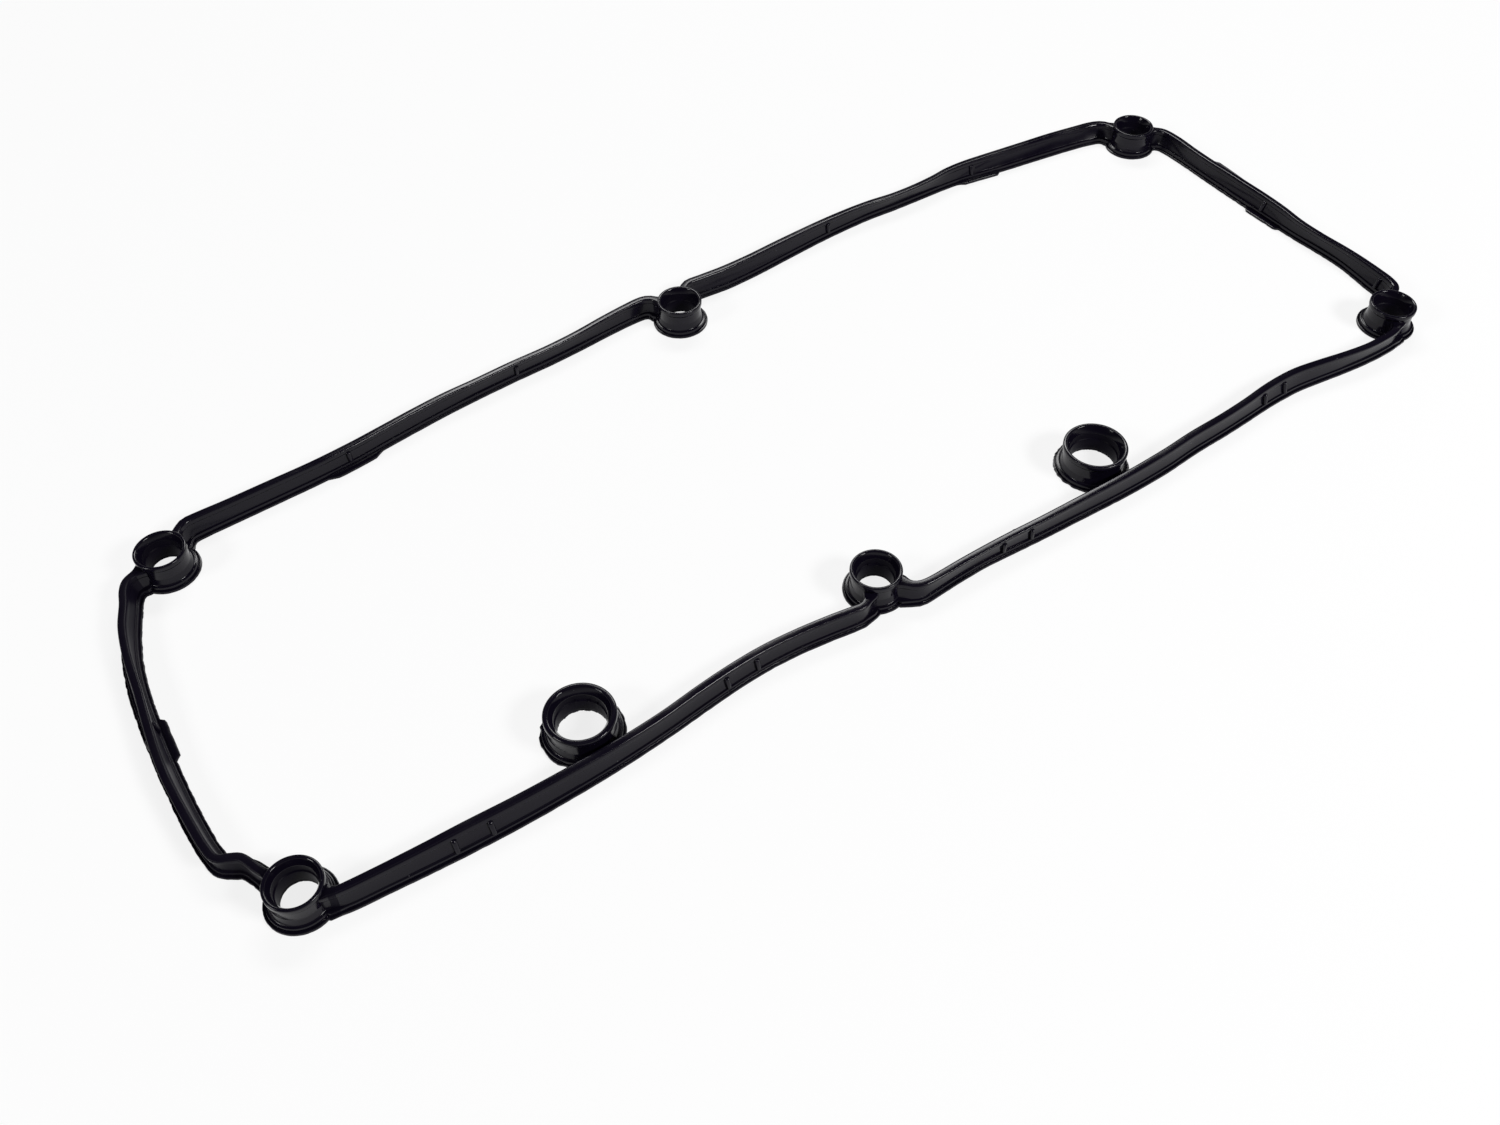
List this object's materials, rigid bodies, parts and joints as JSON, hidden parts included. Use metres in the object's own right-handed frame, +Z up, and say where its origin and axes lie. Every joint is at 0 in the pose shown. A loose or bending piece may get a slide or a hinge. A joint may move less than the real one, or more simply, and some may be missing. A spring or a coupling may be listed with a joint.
{
  "type": "valve cover gasket",
  "caption": "Black rubber gasket that seals a valve cover to a cylinder head: a long beaded loop with round bolt collars and larger rings along one side.",
  "frame": {"origin": "middle of the outline on the plane of the underside, which lies on the cylinder head", "axes": "+X along the length, towards the end with the plainer corner; +Y across, away from the side with the two larger rings; +Z up, from the foot to the crest"},
  "size_m": [0.4472, 0.1724, 0.0098],
  "materials": {
    "rubber": "satin black moulded rubber"
  },
  "bodies": {
    "root": {"gasket": "rubber"}
  },
  "joints": []
}
